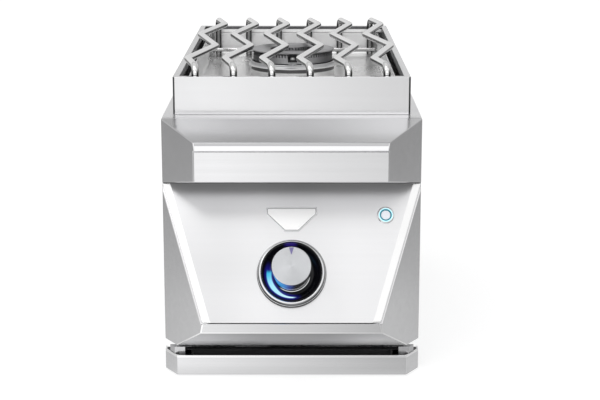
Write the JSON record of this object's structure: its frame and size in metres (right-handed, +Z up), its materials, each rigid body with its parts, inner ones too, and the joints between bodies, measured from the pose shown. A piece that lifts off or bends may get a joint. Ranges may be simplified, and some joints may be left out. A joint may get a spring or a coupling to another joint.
{
  "type": "built-in side burner",
  "caption": "Narrow drop-in gas side burner with a zigzag rod grate over a dual-ring burner, a faceted steel fascia with a lit knob and button, and a pull-out drip tray.",
  "frame": {"origin": "middle of the bounding box in plan, on the underside of the base", "axes": "+X to the right seen from the front, +Y to the back, +Z up; the fascia faces -Y"},
  "size_m": [0.33, 0.7162, 0.3977],
  "materials": {
    "brushed_steel": "brushed",
    "panel_steel": "fine satin",
    "rod_steel": "polished",
    "pan_steel": "bright satin",
    "bright_trim": "polished",
    "knob_metal": "spun",
    "inner_sheet": "mill finish",
    "burner_casting": "cast and machined",
    "cap_metal": "machined, heat-darkened",
    "brass": "machined",
    "black_gloss": "gloss",
    "black_plastic": "moulded",
    "ceramic": "glazed white",
    "button_white": "gloss",
    "blue_light": "lit diffuser",
    "cyan_light": "lit diffuser"
  },
  "bodies": {
    "housing": {"fascia_shell": "brushed_steel", "nose_plate": "brushed_steel", "control_panel": "panel_steel", "badge_plate": "bright_trim", "knob_bezel": "bright_trim", "bezel_dish": "black_gloss", "bezel_light_ring": "blue_light", "valve_body": "brass", "switch_housing": "bright_trim", "switch_led_ring": "cyan_light", "switch_nut": "inner_sheet", "hob_surround": "brushed_steel", "counter_flange": "brushed_steel", "burner_pan": "pan_steel", "pan_wall": "pan_steel", "burner_seat": "pan_steel", "left_side_panel": "inner_sheet", "right_side_panel": "inner_sheet", "rear_panel": "inner_sheet", "base_panel": "inner_sheet", "front_bulkhead": "inner_sheet", "burner_bracket": "inner_sheet", "burner_base": "burner_casting", "outer_burner_head": "burner_casting", "outer_burner_cap": "cap_metal", "inner_burner_head": "burner_casting", "inner_burner_cap": "cap_metal", "ignition_shield": "inner_sheet", "ignition_electrode": "ceramic", "jet_holder": "brass", "outer_supply_tube": "inner_sheet", "inner_supply_tube": "inner_sheet", "manifold_pipe": "inner_sheet", "inlet_pipe": "inner_sheet", "inlet_fitting": "brass", "spark_module": "black_plastic", "light_driver": "black_plastic", "left_tray_rail": "inner_sheet", "right_tray_rail": "inner_sheet"},
    "knob": {"knob_body": "knob_metal", "knob_face": "knob_metal", "knob_pointer": "blue_light", "valve_stem": "inner_sheet"},
    "stem_push": {"stem_collar": "inner_sheet"},
    "button": {"switch_button": "button_white"},
    "tray": {"drip_tray": "pan_steel", "tray_front": "brushed_steel", "tray_top_plate": "brushed_steel"},
    "grate": {"grate_rod_1": "rod_steel", "grate_rod_2": "rod_steel", "grate_rod_3": "rod_steel", "grate_rod_4": "rod_steel", "grate_rod_5": "rod_steel", "grate_rod_6": "rod_steel", "front_cross_rod": "rod_steel", "rear_cross_rod": "rod_steel"}
  },
  "joints": [
    {"name": "knob_push", "type": "slide", "parent": "housing", "child": "stem_push", "axis": [0, 0.8797, -0.4756], "range_m": [0, 0.003], "stiffness_N_per_m": 1500, "springref_m": -0.004},
    {"name": "knob_turn", "type": "hinge", "parent": "stem_push", "child": "knob", "pos_m": [0, -0.30773, 0.14576], "axis": [0, -0.8797, 0.4756], "range_deg": [0, 225]},
    {"name": "button_press", "type": "slide", "parent": "housing", "child": "button", "axis": [0, 0.8797, -0.4756], "range_m": [0, 0.0015], "stiffness_N_per_m": 700, "springref_m": -0.0012},
    {"name": "tray_slide", "type": "slide", "parent": "housing", "child": "tray", "axis": [0, -1, 0], "range_m": [0, 0.45]},
    {"name": "grate_lift", "type": "slide", "parent": "housing", "child": "grate", "axis": [0, 0, 1], "range_m": [0, 0.15]}
  ]
}
